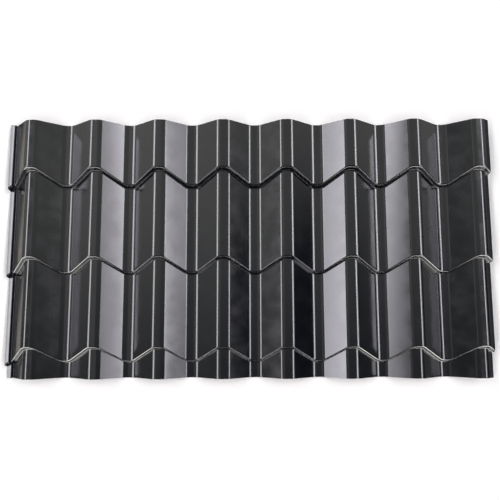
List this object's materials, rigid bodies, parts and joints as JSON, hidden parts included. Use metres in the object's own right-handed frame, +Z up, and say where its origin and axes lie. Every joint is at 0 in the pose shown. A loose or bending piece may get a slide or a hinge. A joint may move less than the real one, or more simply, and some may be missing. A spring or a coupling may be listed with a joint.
{
  "type": "tile effect metal roofing sheet",
  "caption": "Dark coated steel roofing sheet, rolled into rounded waves and pressed into stepped tile rows, with a side lap lip on one edge and a turned down edge on the other",
  "frame": {"origin": "bottom centre of the sheet's bounding box, level with the feet of the pressed steps in the valleys, which are what the sheet lies on", "axes": "+X across the waves from the lip edge to the turned down edge, +Y up the slope to the ridge end, +Z up out of the weather face"},
  "size_m": [1.0888, 0.58, 0.0402],
  "materials": {
    "coated_steel": "gloss"
  },
  "bodies": {
    "root": {"roofing_sheet": "coated_steel"}
  },
  "joints": []
}
